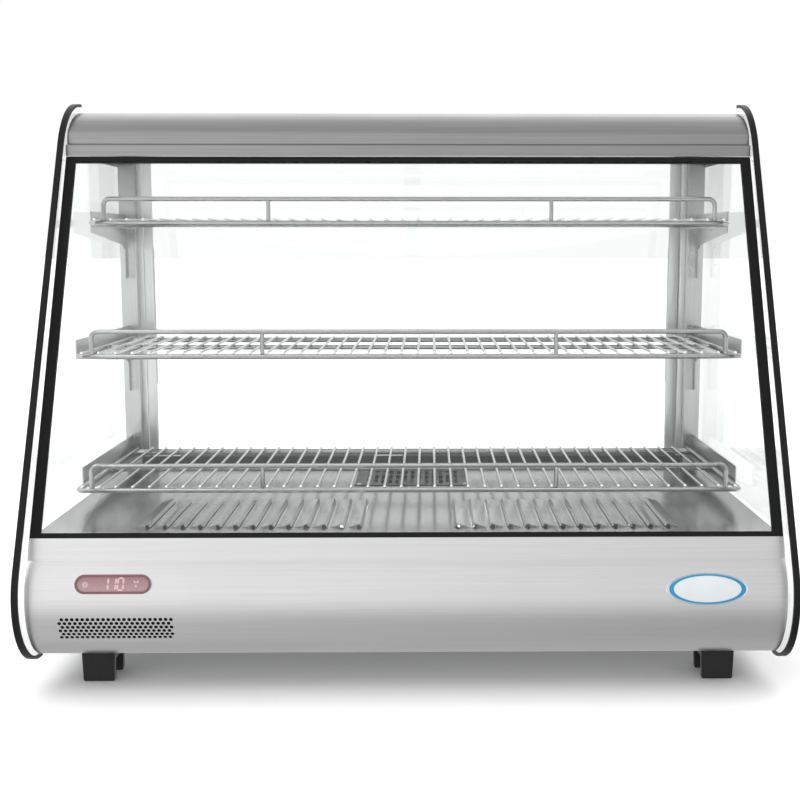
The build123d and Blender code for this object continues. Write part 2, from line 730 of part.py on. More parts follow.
# ---------------------------------------------------------------- fan, heaters, terminal block, feet
def fan_frame():
    body = Box(FAN_SIZE, FAN_SIZE, FAN_H, align=STAND) - Cylinder(DUCT_R, FAN_H, align=STAND)
    across = 2 * DUCT_R + 2
    struts = Box(across, FAN_STRUT, FAN_FLOOR, align=STAND) + Box(FAN_STRUT, across, FAN_FLOOR, align=STAND)
    body += struts + Cylinder(HUB_R, FAN_FLOOR, align=STAND) + Cylinder(SHAFT_R, SHAFT_TOP, align=STAND)
    for x in (-FAN_BOLT, FAN_BOLT):
        for y in (-FAN_BOLT, FAN_BOLT):
            body -= Pos(x, y, 0) * Cylinder(2.2, 3 * FAN_H)
    return Pos(0, FAN_Y, FAN_Z1 - FAN_H) * body


def fan_rotor():
    rotor = Pos(0, 0, FAN_FLOOR + 1) * Cylinder(HUB_R, 23.5, align=STAND)
    blade = Pos(HUB_R - 1 + BLADE_L / 2, 0, 15) * Rot(BLADE_PITCH, 0, 0) * Box(BLADE_L, BLADE_W, 1.6)
    for index in range(BLADES):
        rotor += Rot(0, 0, index * 360 / BLADES) * blade
    rotor -= Cylinder(SHAFT_R + SHAFT_FIT, SHAFT_TOP + 0.1, align=STAND)
    return Pos(0, FAN_Y, FAN_Z1 - FAN_H) * rotor


def heater_element(side):
    """A hairpin tube lying under one bank of louvres."""
    near, far = HEATER_X
    front, back = HEATER_Y
    corners = [(near, front, HEATER_Z), (far, front, HEATER_Z), (far, back, HEATER_Z), (near, back, HEATER_Z)]
    path = FilletPolyline(*corners, radius=HEATER_BEND)
    start = Plane(origin=path @ 0, z_dir=path % 0)
    tube = sweep(start * Circle(HEATER_R), path=path)
    tube += block(near - 3, near, front - 15, back + 15, HEATER_Z - HEATER_DROP, HEATER_Z + HEATER_DROP)
    return tube if side > 0 else mirrored(tube)


def heater_tray():
    """The shelf that carries the heaters, on folded legs that stand on the pan."""
    top = HEATER_Z - HEATER_DROP
    front, back = TRAY_Y
    tray = block(-TRAY_HALF, TRAY_HALF, front, back, top - SHEET, top)
    for y in (front, back - SHEET):
        tray += block(-TRAY_HALF, TRAY_HALF, y, y + SHEET, BASE_Z + SHEET, top)
    for x in (-290, -110, 110, 290):
        for y in (front + 5, HEATER_Y[1]):
            tray += block(x - 3, x + 3, y - 4, y + 4, top, HEATER_Z - HEATER_R - GAP)
    return tray


def terminal_block():
    low = BASE_Z + SHEET
    body = block(*TERMINAL_X, *TERMINAL_Y, low, low + TERMINAL_H)
    for x in spread(TERMINAL_POLES, TERMINAL_PITCH):
        body -= Pos(x + sum(TERMINAL_X) / 2, sum(TERMINAL_Y) / 2, low + TERMINAL_H) * Cylinder(3, 16)
    return body


def foot_profile(half, low):
    """The front view of one wall of a foot, from low up to the base."""
    narrow = half - FOOT_TAPER * (BASE_Z - low) / BASE_Z
    return rounded([(-half, BASE_Z), (half, BASE_Z), (narrow, low), (-narrow, low)], [0, 0, 2.5, 2.5])


def foot(x, y):
    """A moulded foot: a front wall, a wider rear wall and a tunnel between them for the screw."""
    half = FOOT_W / 2
    length = FOOT_L / 2
    body = along_y(foot_profile(half, 0), -length, -length + FOOT_WALL)
    body += along_y(foot_profile(half + FOOT_FLARE, 0), length - FOOT_WALL, length)
    body += along_y(foot_profile(half, FOOT_ARCH), -length + 1, length - 1)
    body -= Pos(0, 0, BASE_Z) * Cylinder(SCREW_R + 0.3, 2 * BASE_Z)
    return Pos(x, y, 0) * body


def foot_screw(x, y):
    """A hexagon-socket screw up through the foot's tunnel roof, and its nut inside the base."""
    nut_z = BASE_Z + SHEET - FOOT_ARCH
    shank = Cylinder(SCREW_R, nut_z + 8, align=STAND)
    head = Pos(0, 0, -5) * Cylinder(6, 5, align=STAND)
    head -= Pos(0, 0, -5) * extrude(RegularPolygon(2.6, 6), 2.5)
    nut = Pos(0, 0, nut_z) * (extrude(RegularPolygon(5.6, 6), 5) - Cylinder(SCREW_R - 0.4, 20))
    return Pos(x, y, FOOT_ARCH) * (head + shank + nut)


# ---------------------------------------------------------------- the assembly
def build_parts():
    parts = {
        "base_front_panel": base_front_panel(),
        "base_side_right": base_side(),
        "base_side_left": mirrored(base_side()),
        "base_pan": base_pan(),
        "base_rear_panel": base_rear_panel(),
        "deck_plate": deck_plate(),
        "fan_grille": fan_grille(),
        "upright_right": upright(),
        "upright_left": mirrored(upright()),
        "top_cap": top_cap(),
        "ceiling_panel": ceiling_panel(),
        "lamp_housing": lamp_housing(),
        "lamp_board": lamp_board(),
        "lamp_diffuser": lamp_diffuser(),
        "front_glass": front_glass(),
        "front_glass_gasket": front_glass_gasket(),
        "side_glass_right": side_pane(),
        "side_glass_left": mirrored(side_pane()),
        "side_trim_right": side_trim(),
        "side_trim_left": mirrored(side_trim()),
        "door_track_top": track(HIGH_TRACK_Z0, HIGH_TRACK_Z1, -2.0),
        "door_track_bottom": track(DECK_Z, LOW_TRACK_TOP, 2.0),
        "door_jamb_right": door_jamb(),
        "door_jamb_left": mirrored(door_jamb()),
        "door_left_glass": door_pane(LANE_INNER),
        "door_left_stile": door_stile(LANE_INNER, GRIP_INNER),
        "door_left_glides": door_glides(LANE_INNER),
        "door_right_glass": mirrored(door_pane(LANE_OUTER)),
        "door_right_stile": mirrored(door_stile(LANE_OUTER, GRIP_OUTER)),
        "door_right_glides": mirrored(door_glides(LANE_OUTER)),
        "display_bezel": display_bezel(),
        "display_lens": display_lens(),
        "controller_box": controller_box(),
        "badge_plate": badge_plate(),
        "fan_frame": fan_frame(),
        "fan_rotor": fan_rotor(),
        "heater_elements": Compound(children=[heater_element(side).solid() for side in (-1, 1)]),
        "heater_tray": heater_tray(),
        "terminal_block": terminal_block(),
        "cable_gland": cable_gland(),
        "switch_housings": Compound(children=[switch_housing(x).solid() for x in SWITCH_X]),
        "power_rocker": rocker(SWITCH_X[0]),
        "light_rocker": rocker(SWITCH_X[1]),
    }
    for name, z, front, tip, rise, nose in SHELVES:
        parts[f"shelf_{name}_grid"] = shelf_grid(z, front)
        parts[f"shelf_{name}_guard"] = shelf_guard(z, front)
        parts[f"bracket_{name}_right"] = shelf_bracket(z, tip, rise, nose)
        parts[f"bracket_{name}_left"] = mirrored(shelf_bracket(z, tip, rise, nose))
    names = ("front_left", "rear_left", "front_right", "rear_right")
    for name, (x, y) in zip(names, foot_places()):
        parts[f"foot_{name}"] = foot(x, y)
    parts["foot_screws"] = Compound(children=[foot_screw(x, y).solid() for x, y in foot_places()])
    return parts


os.makedirs("parts", exist_ok=True)
for node, shape in build_parts().items():
    export_step(shape, f"parts/{node}.step")
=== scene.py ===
import json
import math

import bmesh
import bpy
from mathutils import Matrix, Vector

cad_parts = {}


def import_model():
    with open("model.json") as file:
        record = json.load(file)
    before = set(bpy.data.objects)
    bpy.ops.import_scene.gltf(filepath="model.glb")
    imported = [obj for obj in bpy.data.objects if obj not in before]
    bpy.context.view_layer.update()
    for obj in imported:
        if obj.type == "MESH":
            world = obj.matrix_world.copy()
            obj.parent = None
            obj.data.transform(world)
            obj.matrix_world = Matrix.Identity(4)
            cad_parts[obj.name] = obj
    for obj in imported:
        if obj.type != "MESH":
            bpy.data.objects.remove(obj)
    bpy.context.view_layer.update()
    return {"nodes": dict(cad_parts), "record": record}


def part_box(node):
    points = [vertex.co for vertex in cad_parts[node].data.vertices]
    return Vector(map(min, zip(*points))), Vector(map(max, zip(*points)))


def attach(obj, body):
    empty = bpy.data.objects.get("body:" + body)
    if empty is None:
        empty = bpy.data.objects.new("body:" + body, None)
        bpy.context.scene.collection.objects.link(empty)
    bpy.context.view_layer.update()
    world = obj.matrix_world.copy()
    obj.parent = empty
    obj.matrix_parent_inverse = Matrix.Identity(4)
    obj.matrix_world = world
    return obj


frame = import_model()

NODES = frame["nodes"]
SCENE = bpy.context.scene
MM = 0.001


# ------------------------------------------------------------------ node helpers
class Tree:
    """A short way to add and link shader nodes in one material."""

    def __init__(self, name):
        self.material = bpy.data.materials.new(name)
        self.material.use_nodes = True
        self.tree = self.material.node_tree
        self.tree.nodes.clear()
        self.output = self.add("ShaderNodeOutputMaterial")

    def add(self, kind, **settings):
        node = self.tree.nodes.new(kind)
        for key, value in settings.items():
            setattr(node, key, value)
        return node

    def link(self, source, target):
        self.tree.links.new(source, target)

    def coordinates(self, scale):
        """Object coordinates in metres, stretched by scale."""
        source = self.add("ShaderNodeTexCoord").outputs["Object"]
        mapping = self.add("ShaderNodeMapping")
        mapping.inputs["Scale"].default_value = scale
        self.link(source, mapping.inputs["Vector"])
        return mapping.outputs["Vector"]

    def noise(self, scale, detail=4.0, roughness=0.55, distortion=0.0):
        node = self.add("ShaderNodeTexNoise")
        node.inputs["Scale"].default_value = 1.0
        node.inputs["Detail"].default_value = detail
        node.inputs["Roughness"].default_value = roughness
        node.inputs["Distortion"].default_value = distortion
        self.link(self.coordinates(scale), node.inputs["Vector"])
        return node.outputs["Fac"]

    def spread(self, value, low, high, start=0.25, end=0.75):
        """Maps a noise value from start..end to low..high."""
        node = self.add("ShaderNodeMapRange")
        for name, number in (("From Min", start), ("From Max", end), ("To Min", low), ("To Max", high)):
            node.inputs[name].default_value = number
        self.link(value, node.inputs["Value"])
        return node.outputs["Result"]

    def tint(self, value, dark, light, start=0.3, end=0.7):
        """A colour between dark and light, by a noise value."""
        node = self.add("ShaderNodeValToRGB")
        low, high = node.color_ramp.elements
        low.position, high.position = start, end
        low.color, high.color = (*dark, 1), (*light, 1)
        self.link(value, node.inputs["Fac"])
        return node.outputs["Color"]

    def multiply(self, first, second):
        node = self.add("ShaderNodeMath", operation="MULTIPLY")
        self.link(first, node.inputs[0])
        self.link(second, node.inputs[1])
        return node.outputs["Value"]

    def bump(self, height, strength, distance, normal=None):
        node = self.add("ShaderNodeBump")
        node.inputs["Strength"].default_value = strength
        node.inputs["Distance"].default_value = distance
        self.link(height, node.inputs["Height"])
        if normal is not None:
            self.link(normal, node.inputs["Normal"])
        return node.outputs["Normal"]

    def principled(self, **values):
        node = self.add("ShaderNodeBsdfPrincipled")
        for key, value in values.items():
            node.inputs[key.replace("_", " ")].default_value = value
        self.link(node.outputs["BSDF"], self.output.inputs["Surface"])
        return node


GRAIN = {"x": (5, 620, 620), "y": (620, 5, 620), "z": (620, 620, 5)}


# ------------------------------------------------------------------ materials
def brushed_steel(name, dark, light, grain="x", rough=(0.26, 0.38), scratch=0.05):
    """Stainless sheet with fine parallel brushing, faint cloudiness and a few handling marks."""
    t = Tree(name)
    shader = t.principled(Metallic=1.0)
    fine = t.noise(GRAIN[grain], detail=5, roughness=0.6)
    coarse = t.noise(tuple(v / 7 for v in GRAIN[grain]), detail=3)
    cloud = t.noise((7, 7, 7), detail=3)
    t.link(t.tint(fine, dark, light), shader.inputs["Base Color"])
    base = t.spread(coarse, *rough)
    smudge = t.spread(cloud, 0.88, 1.12)
    t.link(t.multiply(base, smudge), shader.inputs["Roughness"])
    grain_normal = t.bump(fine, scratch, 0.0002)
    t.link(t.bump(cloud, 0.04, 0.002, grain_normal), shader.inputs["Normal"])
    return t.material


def painted_shading_steel(name, dark, light, grain, rough, painted_shading_factor, start, end):
    """Brushed sheet with painted shading by height: its colour is multiplied by the painted shading factor
    between the heights start and end, in metres.
    """
    t = Tree(name)
    shader = t.principled(Metallic=1.0)
    fine = t.noise(GRAIN[grain], detail=5, roughness=0.6)
    height = t.add("ShaderNodeSeparateXYZ")
    t.link(t.coordinates((1, 1, 1)), height.inputs["Vector"])
    # painted shading: this mix swaps to the scaled colour above the given height
    mix = t.add("ShaderNodeMix")
    mix.data_type = "RGBA"
    t.link(t.spread(height.outputs["Z"], 0.0, 1.0, start, end), mix.inputs[0])
    t.link(t.tint(fine, dark, light), mix.inputs[6])
    t.link(t.tint(fine, tuple(painted_shading_factor * c for c in dark), tuple(painted_shading_factor * c for c in light)), mix.inputs[7])
    t.link(mix.outputs[2], shader.inputs["Base Color"])
    t.link(t.spread(fine, *rough), shader.inputs["Roughness"])
    t.link(t.bump(fine, 0.04, 0.0002), shader.inputs["Normal"])
    return t.material


def plain_steel(name, dark, light, rough=(0.3, 0.5)):
    """Galvanised or zinc-plated sheet, with a cloudy spangle."""
    t = Tree(name)
    shader = t.principled(Metallic=1.0)
    spangle = t.noise((60, 60, 60), detail=5, roughness=0.65, distortion=0.6)
    t.link(t.tint(spangle, dark, light), shader.inputs["Base Color"])
    t.link(t.spread(spangle, *rough), shader.inputs["Roughness"])
    t.link(t.bump(spangle, 0.08, 0.0004), shader.inputs["Normal"])
    return t.material


def chrome(name, colour=(0.35, 0.35, 0.35)):
    """Bright plating on drawn wire: very slight ripple, a little dulling."""
    t = Tree(name)
    shader = t.principled(Metallic=1.0)
    ripple = t.noise((240, 240, 240), detail=3)
    dull = t.noise((30, 30, 30), detail=4)
    dark = tuple(0.90 * c for c in colour)
    t.link(t.tint(dull, dark, colour), shader.inputs["Base Color"])
    t.link(t.spread(dull, 0.10, 0.22), shader.inputs["Roughness"])
    t.link(t.bump(ripple, 0.06, 0.0003), shader.inputs["Normal"])
    return t.material


def moulded(name, dark, light, rough=(0.38, 0.55), texture=900, depth=0.12, metallic=0.0, level=0.5):
    """Moulded plastic, rubber or paint with a fine surface texture and faint colour drift."""
    t = Tree(name)
    shader = t.principled(Metallic=metallic)
    shader.inputs["Specular IOR Level"].default_value = level
    fine = t.noise((texture, texture, texture), detail=3)
    drift = t.noise((18, 18, 18), detail=4)
    t.link(t.tint(drift, dark, light), shader.inputs["Base Color"])
    t.link(t.spread(drift, *rough), shader.inputs["Roughness"])
    t.link(t.bump(fine, depth, 0.0002), shader.inputs["Normal"])
    return t.material


def glass(name, colour=(0.975, 0.99, 0.985)):
    """Clear tempered glass that lets lamps through, with the faintest wiped film."""
    t = Tree(name)
    shader = t.add("ShaderNodeBsdfPrincipled")
    shader.inputs["Base Color"].default_value = (*colour, 1)
    shader.inputs["Transmission Weight"].default_value = 1.0
    shader.inputs["IOR"].default_value = 1.45
    film = t.noise((9, 9, 9), detail=5, distortion=0.8)
    t.link(t.spread(film, 0.0, 0.012, 0.55, 0.8), shader.inputs["Roughness"])
    clear = t.add("ShaderNodeBsdfTransparent")
    clear.inputs["Color"].default_value = (*colour, 1)
    path = t.add("ShaderNodeLightPath")
    mix = t.add("ShaderNodeMixShader")
    t.link(path.outputs["Is Shadow Ray"], mix.inputs["Fac"])
    t.link(shader.outputs["BSDF"], mix.inputs[1])
    t.link(clear.outputs["BSDF"], mix.inputs[2])
    t.link(mix.outputs["Shader"], t.output.inputs["Surface"])
    return t.material


def glowing(name, colour, strength, rough=0.35):
    """A lit or printed plastic piece."""
    t = Tree(name)
    shader = t.principled(Roughness=rough)
    shader.inputs["Emission Strength"].default_value = strength
    mottled = t.noise((120, 120, 120), detail=3)
    dark = tuple(0.92 * c for c in colour)
    t.link(t.tint(mottled, dark, colour), shader.inputs["Base Color"])
    t.link(t.tint(mottled, dark, colour), shader.inputs["Emission Color"])
    return t.material


def tinted_lens(name):
    """Dusty red display window with a soft gloss; its paler lower edge is painted light."""
    t = Tree(name)
    shader = t.principled(Roughness=0.22)
    shader.inputs["Coat Weight"].default_value = 0.5
    shader.inputs["Coat Roughness"].default_value = 0.06
    low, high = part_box("display_lens")
    height = t.add("ShaderNodeSeparateXYZ")
    t.link(t.coordinates((1, 1, 1)), height.inputs["Vector"])
    # painted light: the red pales from the top of the lens towards its lower edge
    level = t.spread(height.outputs["Z"], 0.0, 1.0, low.z, high.z)
    colour = t.tint(level, (0.34, 0.21, 0.212), (0.25, 0.125, 0.13), 0.1, 0.9)
    t.link(colour, shader.inputs["Base Color"])
    haze = t.noise((300, 300, 300), detail=4)
    t.link(t.spread(haze, 0.16, 0.30), shader.inputs["Roughness"])
    return t.material


def heat_tinted(name):
    """Heater tube: oxidised steel with straw and blue patches."""
    t = Tree(name)
    shader = t.principled(Metallic=1.0)
    patch = t.noise((22, 22, 22), detail=4, distortion=0.4)
    t.link(t.tint(patch, (0.16, 0.14, 0.17), (0.46, 0.38, 0.28), 0.35, 0.65), shader.inputs["Base Color"])
    t.link(t.spread(patch, 0.32, 0.55), shader.inputs["Roughness"])
    t.link(t.bump(t.noise((500, 500, 500)), 0.1, 0.0002), shader.inputs["Normal"])
    return t.material


CASE = brushed_steel("case_steel", (0.67, 0.67, 0.675), (0.73, 0.73, 0.735), "x", (0.31, 0.38))
CAP = brushed_steel("cap_steel", (0.29, 0.29, 0.29), (0.36, 0.36, 0.36), "x", (0.27, 0.37))
# deck steel: the raised louvres above 0.182 m are painted 1.7 times lighter, painted light rather than the
# metal's own colour
DECK_PAINTED_LIGHT = painted_shading_steel(
    "deck_steel", (0.26, 0.26, 0.26), (0.33, 0.33, 0.33), "x", (0.14, 0.24), painted_shading_factor=1.7, start=0.1802, end=0.182
)
SIDE = brushed_steel("side_steel", (0.62, 0.62, 0.625), (0.70, 0.70, 0.705), "y", (0.30, 0.42))
# upright steel: painted shade, the colour darkens to 0.35 of itself towards the top, between 0.50 and 0.625 m
POST_PAINTED_SHADE = painted_shading_steel(
    "post_steel", (0.50, 0.51, 0.50), (0.58, 0.59, 0.58), "z", (0.26, 0.38), painted_shading_factor=0.35, start=0.50, end=0.625
)
BRACKET = brushed_steel("bracket_steel", (0.40, 0.41, 0.41), (0.48, 0.49, 0.49), "y", (0.24, 0.36))
ZINC = plain_steel("zinc_steel", (0.50, 0.51, 0.52), (0.64, 0.65, 0.66))
SCREW = plain_steel("screw_steel", (0.55, 0.55, 0.54), (0.70, 0.70, 0.69), (0.22, 0.36))
WIRE = chrome("chrome_wire")
# wire ends: far paler than the wires' own chrome, a painted highlight on their rounded ends
WIRE_END_HIGHLIGHT = chrome("wire_end", (0.90, 0.90, 0.90))
GLASS = glass("clear_glass")
TRIM = moulded(
    "edge_rubber", (0.004, 0.004, 0.004), (0.007, 0.007, 0.007), (0.35, 0.50), 700, 0.08, 0.0, 0.20
)
GASKET = moulded(
    "gasket_rubber", (0.005, 0.005, 0.005), (0.008, 0.008, 0.008), (0.50, 0.65), 900, 0.10, 0.0, 0.16
)
TRACK = moulded("track_plastic", (0.020, 0.020, 0.021), (0.034, 0.034, 0.035), (0.40, 0.55), 800, 0.08)
FEET = moulded(
    "foot_plastic", (0.016, 0.016, 0.017), (0.025, 0.025, 0.026), (0.42, 0.60), 700, 0.20, 0.0, 0.2
)
NYLON = moulded("glide_plastic", (0.70, 0.70, 0.66), (0.78, 0.78, 0.74), (0.40, 0.55), 500, 0.06)
STILE = brushed_steel("stile_aluminium", (0.72, 0.73, 0.73), (0.80, 0.81, 0.81), "z", (0.30, 0.40))
GREY = moulded("controller_plastic", (0.10, 0.10, 0.11), (0.15, 0.15, 0.16), (0.45, 0.6), 600, 0.10)
PAINT = moulded("grille_paint", (0.020, 0.020, 0.020), (0.032, 0.032, 0.032), (0.42, 0.60), 1100, 0.20)
SWITCH = moulded("switch_plastic", (0.022, 0.022, 0.022), (0.034, 0.034, 0.034), (0.36, 0.50), 900, 0.10)
ROCKER = moulded("rocker_plastic", (0.028, 0.028, 0.028), (0.040, 0.040, 0.040), (0.16, 0.26), 500, 0.03)
WHITE = moulded("lamp_paint", (0.74, 0.74, 0.73), (0.82, 0.82, 0.81), (0.38, 0.5), 900, 0.06)
DIFFUSER = glowing("diffuser_plastic", (0.95, 0.94, 0.90), 1.2)
LENS = tinted_lens("lens_plastic")
RIM = moulded("bezel_plastic", (0.13, 0.060, 0.065), (0.18, 0.085, 0.09), (0.20, 0.32), 500, 0.03)
BADGE = brushed_steel("badge_metal", (0.78, 0.79, 0.81), (0.86, 0.87, 0.89), "x", (0.18, 0.28), 0.03)
HEATER = heat_tinted("heater_tube")
DIGIT = glowing("digit_print", (0.55, 0.37, 0.37), 0.10)
SIGN = glowing("sign_print", (0.50, 0.38, 0.41), 0.06)
ENAMEL = moulded("badge_enamel", (0.54, 0.57, 0.59), (0.59, 0.62, 0.64), (0.12, 0.2), 300, 0.02, 0.0, 0.35)
BLUE = moulded("badge_blue", (0.02, 0.19, 0.36), (0.03, 0.24, 0.43), (0.12, 0.2), 300, 0.02, 0.0, 0.35)
RIM_METAL = chrome("badge_rim", (0.72, 0.73, 0.75))
# near-black sheet behind the vents: painted shade for the dark inside of the base
VENT_SHADE = moulded("vent_shade_black", (0.010, 0.010, 0.010), (0.016, 0.016, 0.016), (0.7, 0.9), 1500, 0.4, 0.0, 0.15)

FINISHES = {
    "case_steel": CASE,
    "inner_steel": ZINC,
    "deck_steel": DECK_PAINTED_LIGHT,
    "cap_steel": CAP,
    "ceiling_steel": CASE,
    "post_steel": POST_PAINTED_SHADE,
    "bracket_steel": BRACKET,
    "chrome_wire": WIRE,
    "clear_glass": GLASS,
    "edge_rubber": TRIM,
    "gasket_rubber": GASKET,
    "track_plastic": TRACK,
    "stile_aluminium": STILE,
    "glide_plastic": NYLON,
    "foot_plastic": FEET,
    "zinc_screw": SCREW,
    "lens_plastic": LENS,
    "bezel_plastic": RIM,
    "controller_plastic": GREY,
    "badge_metal": BADGE,
    "grille_paint": PAINT,
    "fan_plastic": PAINT,
    "heater_tube": HEATER,
    "switch_plastic": SWITCH,
    "rocker_plastic": ROCKER,
    "lamp_paint": WHITE,
    "lamp_board": WHITE,
    "diffuser_plastic": DIFFUSER,
}


def finish_cad_nodes():
    for part in frame["record"]["subparts"]:
        node = NODES[part["node"]]
        material = FINISHES[part["material_slot"]]
        if part["node"] in ("base_side_left", "base_side_right"):
            material = SIDE
        node.data.materials.clear()
        node.data.materials.append(material)


# ------------------------------------------------------------------ mesh helpers
def piece(name, mesh, material, body):
    made = bpy.data.objects.new(name, mesh)
    SCENE.collection.objects.link(made)
    made.data.materials.append(material)
    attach(made, body)
    return made


def smooth(mesh, angle=35):
    for face in mesh.polygons:
        face.use_smooth = True
    mesh.set_sharp_from_angle(angle=math.radians(angle))


# ------------------------------------------------------------------ the round front
FRONT_AXIS = (-0.19099, 0.110)    # Y and Z of the round front's axis
FRONT_R = 0.073
LENS_R = FRONT_R + 0.0014
PLATE_R = FRONT_R + 0.0018


def on_front(x, arc, radius):
    """A point on the round front: arc is the length along the sheet above the axis's height."""
    angle = arc / FRONT_R
    return Vector((x, FRONT_AXIS[0] - radius * math.cos(angle), FRONT_AXIS[1] + radius * math.sin(angle)))


def front_arc(height):
    """Length along the sheet at a height above the ground."""
    return FRONT_R * math.asin((height - FRONT_AXIS[1]) / FRONT_R)


def closed_mesh(name, shape):
    bmesh.ops.remove_doubles(shape, verts=shape.verts, dist=1e-7)
    bmesh.ops.dissolve_degenerate(shape, dist=1e-7, edges=shape.edges)
    bmesh.ops.recalc_face_normals(shape, faces=shape.faces)
    mesh = bpy.data.meshes.new(name)
    shape.to_mesh(mesh)
    shape.free()
    return mesh


def front_prisms(name, outlines, centre, low, high):
    """Thin prisms on the round front; outlines are in mm around centre = (x, arc)."""
    shape = bmesh.new()
    for outline in outlines:
        rings = []
        for radius in (low, high):
            points = [(centre[0] + u * MM, centre[1] + v * MM) for u, v in outline]
            rings.append([shape.verts.new(on_front(x, arc, radius)) for x, arc in points])
        under, over = rings
        shape.faces.new(over)
        shape.faces.new(list(reversed(under)))
        for i in range(len(outline)):
            j = (i + 1) % len(outline)
            shape.faces.new((under[i], under[j], over[j], over[i]))
    return closed_mesh(name, shape)


def spin(shape, loops):
    """Faces between neighbouring open profiles that go once round."""
    for here, there in zip(loops, loops[1:] + loops[:1]):
        for i in range(len(here) - 1):
            shape.faces.new((here[i], there[i], there[i + 1], here[i + 1]))


def front_oval(name, centre, half, section, turns=96):
    """A section of (scale, radius) pairs carried round an ellipse on the round front."""
    shape = bmesh.new()
    loops = []
    for step in range(turns):
        angle = 2 * math.pi * step / turns
        loop = []
        for scale, radius in section:
            x = centre[0] + scale * half[0] * math.cos(angle)
            arc = centre[1] + scale * half[1] * math.sin(angle)
            loop.append(shape.verts.new(on_front(x, arc, radius)))
        loops.append(loop)
    count = len(section)
    for step in range(turns):
        here, there = loops[step], loops[(step + 1) % turns]
        for i in range(count):
            j = (i + 1) % count
            shape.faces.new((here[i], here[j], there[j], there[i]))
    return closed_mesh(name, shape)


# ------------------------------------------------------------------ display
SEGMENTS = {"0": "abcdef", "1": "bc"}
DIGITS = (("1", -8.2), ("1", 0.2), ("0", 8.6))    # mm from the display's middle
DIGIT_W, DIGIT_H, STROKE = 6.0, 12.8, 2.1
SLANT = 0.06
END_GAP = 0.25
DISPLAY_HEIGHT = 0.1345
SIGN_LEFT, SIGN_RIGHT = (-30.5, -0.6), (25.6, 0.4)    # mm from the display's middle
PRINT = (LENS_R - 0.2 * MM, LENS_R + 0.15 * MM)    # from just under the lens's face to just over it


def segment_outline(letter, x):
    """One bar of a seven-segment digit, slanted, with pointed ends."""
    w, h, t = DIGIT_W / 2, DIGIT_H / 2, STROKE / 2
    ends = {
        "a": ((-w, h), (w, h)),
        "b": ((w, h), (w, 0)),
        "c": ((w, 0), (w, -h)),
        "d": ((-w, -h), (w, -h)),
        "e": ((-w, 0), (-w, -h)),
        "f": ((-w, h), (-w, 0)),
    }[letter]
    start, end = Vector(ends[0]), Vector(ends[1])
    along = (end - start).normalized()
    side = Vector((-along.y, along.x)) * t
    start, end = start + along * END_GAP, end - along * END_GAP
    inner, outer = start + along * t, end - along * t
    corners = [start, inner + side, outer + side, end, outer - side, inner - side]
    return [(x + p.x + SLANT * p.y, p.y) for p in corners]


def petal(x, y, angle, length, width):
    """A kite from (x, y), for the two small signs on the display."""
    along = Vector((math.cos(angle), math.sin(angle)))
    side = Vector((-along.y, along.x)) * width / 2
    origin = Vector((x, y))
    widest = origin + along * length * 0.6
    points = [origin + along * 0.35, widest - side, origin + along * length, widest + side]
    return [(p.x, p.y) for p in points]


def display_signs():
    low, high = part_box("display_lens")
    centre = ((low.x + high.x) / 2, front_arc(DISPLAY_HEIGHT))
    digits = [segment_outline(letter, x) for digit, x in DIGITS for letter in SEGMENTS[digit]]
    signs = [petal(*SIGN_LEFT, math.radians(45 * k), 4.0, 1.7) for k in range(8)]
    signs += [petal(*SIGN_RIGHT, math.radians(a), 4.4, 2.2) for a in (50, 130, 270)]
    for name, outlines, material in (("display_digits", digits, DIGIT), ("display_signs", signs, SIGN)):
        piece(name, front_prisms(name, outlines, centre, *PRINT), material, "case")


# ------------------------------------------------------------------ plain oval badge
BADGE_HEIGHT = 0.1275
BADGE_HALF_HEIGHT = 0.01775    # along the sheet
# Each section is (share of the oval's size, height over the plate in mm)
ENAMEL_SECTION = ((0.0, -0.3), (0.95, -0.3), (0.95, 0.1), (0.6, 0.35), (0.3, 0.5), (0.0, 0.55))
BAND_SECTION = ((0.81, 0.0), (0.92, 0.0), (0.92, 0.34), (0.81, 0.42))
RIM_TURN = 10
RIM_PLACE, RIM_WIDTH = (0.965, 0.1), (0.018, 0.6)


def badge():
    """White enamel field, a plain blue band and a bright raised rim."""
    low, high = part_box("badge_plate")
    centre = ((low.x + high.x) / 2, front_arc(BADGE_HEIGHT))
    half = ((high.x - low.x) / 2, BADGE_HALF_HEIGHT)
    turns = [2 * math.pi * step / RIM_TURN for step in range(RIM_TURN)]
    rim = [
        (RIM_PLACE[0] + RIM_WIDTH[0] * math.cos(a), RIM_PLACE[1] + RIM_WIDTH[1] * math.sin(a)) for a in turns
    ]
    for name, section, material in (
        ("badge_field", ENAMEL_SECTION, ENAMEL),
        ("badge_band", BAND_SECTION, BLUE),
        ("badge_rim", rim, RIM_METAL),
    ):
        raised = [(scale, PLATE_R + height * MM) for scale, height in section]
        made = piece(name, front_oval(name, centre, half, raised), material, "case")
        if name != "badge_band":
            smooth(made.data)


# ------------------------------------------------------------------ near-black sheet behind the vents, painting their shade
SHADE_SHEET_X = (-0.394, -0.258)
SHADE_SHEET_ARC = (math.radians(-38), math.radians(-4))
SHADE_SHEET_DEPTH = (2.2 * MM, 4.2 * MM)    # under the sheet's outer face
SHADE_SHEET_STEPS = 14


